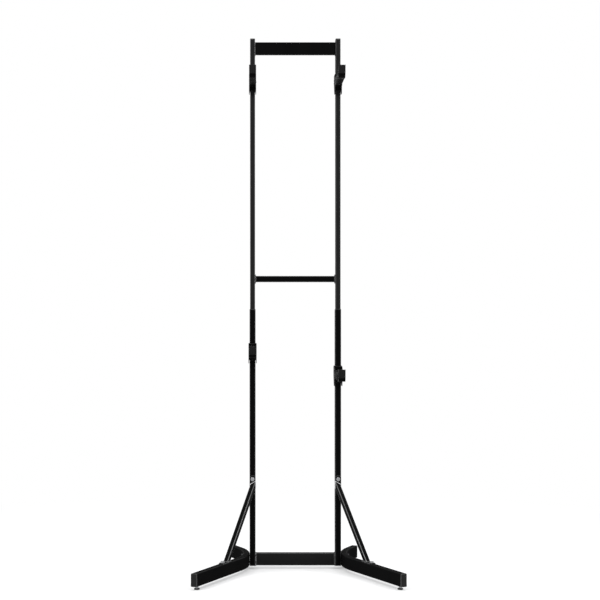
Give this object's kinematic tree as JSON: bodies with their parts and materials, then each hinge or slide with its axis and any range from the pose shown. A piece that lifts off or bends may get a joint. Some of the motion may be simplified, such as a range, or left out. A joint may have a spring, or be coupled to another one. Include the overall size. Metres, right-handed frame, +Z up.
{
  "type": "two tier bike rack",
  "caption": "Free-standing steel rack that holds bicycles one above the other by their top tubes, with height-adjustable padded arms, bent feet, struts and levelling feet.",
  "frame": {"origin": "on the floor, in the middle of the outline", "axes": "+Z up, +Y to the back of the rack, +X to the right as seen from the front"},
  "size_m": [0.8052, 0.6562, 2.134],
  "materials": {
    "black_paint": "semi-gloss black powder coat on steel tube and sheet",
    "cap_plastic": "satin black moulded plastic",
    "knob_plastic": "fine-textured black moulded plastic",
    "cradle_rubber": "matt dark grey ribbed rubber",
    "liner_nylon": "matt black nylon",
    "zinc_steel": "bright zinc plate",
    "black_steel": "black oxide on steel screws"
  },
  "bodies": {
    "root": {"lower_post_right": "black_paint", "lower_post_left": "black_paint", "upper_post_right": "black_paint", "upper_post_left": "black_paint", "post_top_cap_right": "cap_plastic", "post_top_cap_left": "cap_plastic", "base_crossbar": "black_paint", "middle_crossbar": "black_paint", "top_panel": "black_paint", "foot_right": "black_paint", "foot_left": "black_paint", "foot_front_cap_right": "cap_plastic", "foot_front_cap_left": "cap_plastic", "foot_rear_cap_right": "cap_plastic", "foot_rear_cap_left": "cap_plastic", "strut_right": "black_paint", "strut_left": "black_paint", "strut_top_bolt_right": "zinc_steel", "strut_top_bolt_left": "zinc_steel", "strut_foot_bolt_right": "zinc_steel", "strut_foot_bolt_left": "zinc_steel", "post_joint_screw_right": "black_steel", "post_joint_screw_left": "black_steel", "base_bolt_lower_right": "black_steel", "base_bolt_lower_left": "black_steel", "base_bolt_upper_right": "black_steel", "base_bolt_upper_left": "black_steel", "panel_screw_lower_right": "black_steel", "panel_screw_lower_left": "black_steel", "panel_screw_upper_right": "black_steel", "panel_screw_upper_left": "black_steel", "crossbar_screw_front_right": "black_steel", "crossbar_screw_front_left": "black_steel", "crossbar_screw_rear_right": "black_steel", "crossbar_screw_rear_left": "black_steel"},
    "arm_assembly_upper_left": {"arm_upper_left": "black_paint", "cradle_cover_upper_left": "cradle_rubber", "arm_liner_upper_left": "liner_nylon"},
    "knob_upper_left": {"clamp_knob_upper_left": "knob_plastic"},
    "arm_assembly_upper_right": {"arm_upper_right": "black_paint", "cradle_cover_upper_right": "cradle_rubber", "arm_liner_upper_right": "liner_nylon"},
    "knob_upper_right": {"clamp_knob_upper_right": "knob_plastic"},
    "arm_assembly_lower_left": {"arm_lower_left": "black_paint", "cradle_cover_lower_left": "cradle_rubber", "arm_liner_lower_left": "liner_nylon"},
    "knob_lower_left": {"clamp_knob_lower_left": "knob_plastic"},
    "arm_assembly_lower_right": {"arm_lower_right": "black_paint", "cradle_cover_lower_right": "cradle_rubber", "arm_liner_lower_right": "liner_nylon"},
    "knob_lower_right": {"clamp_knob_lower_right": "knob_plastic"},
    "levelling_front_right": {"leveller_front_right": "zinc_steel"},
    "levelling_front_left": {"leveller_front_left": "zinc_steel"},
    "levelling_rear_right": {"leveller_rear_right": "zinc_steel"},
    "levelling_rear_left": {"leveller_rear_left": "zinc_steel"}
  },
  "joints": [
    {"name": "arm_slide_upper_left", "type": "slide", "parent": "root", "child": "arm_assembly_upper_left", "axis": [0, 0, 1], "range_m": [-0.714, 0.074]},
    {"name": "knob_turn_upper_left", "type": "hinge", "parent": "arm_assembly_upper_left", "child": "knob_upper_left", "pos_m": [-0.172, 0.1833, 1.967], "axis": [0, -1, 0], "range_deg": [0, 720]},
    {"name": "arm_slide_upper_right", "type": "slide", "parent": "root", "child": "arm_assembly_upper_right", "axis": [0, 0, 1], "range_m": [-0.714, 0.074]},
    {"name": "knob_turn_upper_right", "type": "hinge", "parent": "arm_assembly_upper_right", "child": "knob_upper_right", "pos_m": [0.172, 0.1833, 1.967], "axis": [0, -1, 0], "range_deg": [0, 720]},
    {"name": "arm_slide_lower_left", "type": "slide", "parent": "root", "child": "arm_assembly_lower_left", "axis": [0, 0, 1], "range_m": [-0.438, 0.112]},
    {"name": "knob_turn_lower_left", "type": "hinge", "parent": "arm_assembly_lower_left", "child": "knob_lower_left", "pos_m": [-0.172, 0.1853, 0.885], "axis": [0, -1, 0], "range_deg": [0, 720]},
    {"name": "arm_slide_lower_right", "type": "slide", "parent": "root", "child": "arm_assembly_lower_right", "axis": [0, 0, 1], "range_m": [-0.347, 0.203]},
    {"name": "knob_turn_lower_right", "type": "hinge", "parent": "arm_assembly_lower_right", "child": "knob_lower_right", "pos_m": [0.172, 0.1853, 0.794], "axis": [0, -1, 0], "range_deg": [0, 720]},
    {"name": "level_front_right", "type": "slide", "parent": "root", "child": "levelling_front_right", "axis": [0, 0, -1], "range_m": [0, 0.012]},
    {"name": "level_front_left", "type": "slide", "parent": "root", "child": "levelling_front_left", "axis": [0, 0, -1], "range_m": [0, 0.012]},
    {"name": "level_rear_right", "type": "slide", "parent": "root", "child": "levelling_rear_right", "axis": [0, 0, -1], "range_m": [0, 0.012]},
    {"name": "level_rear_left", "type": "slide", "parent": "root", "child": "levelling_rear_left", "axis": [0, 0, -1], "range_m": [0, 0.012]}
  ]
}
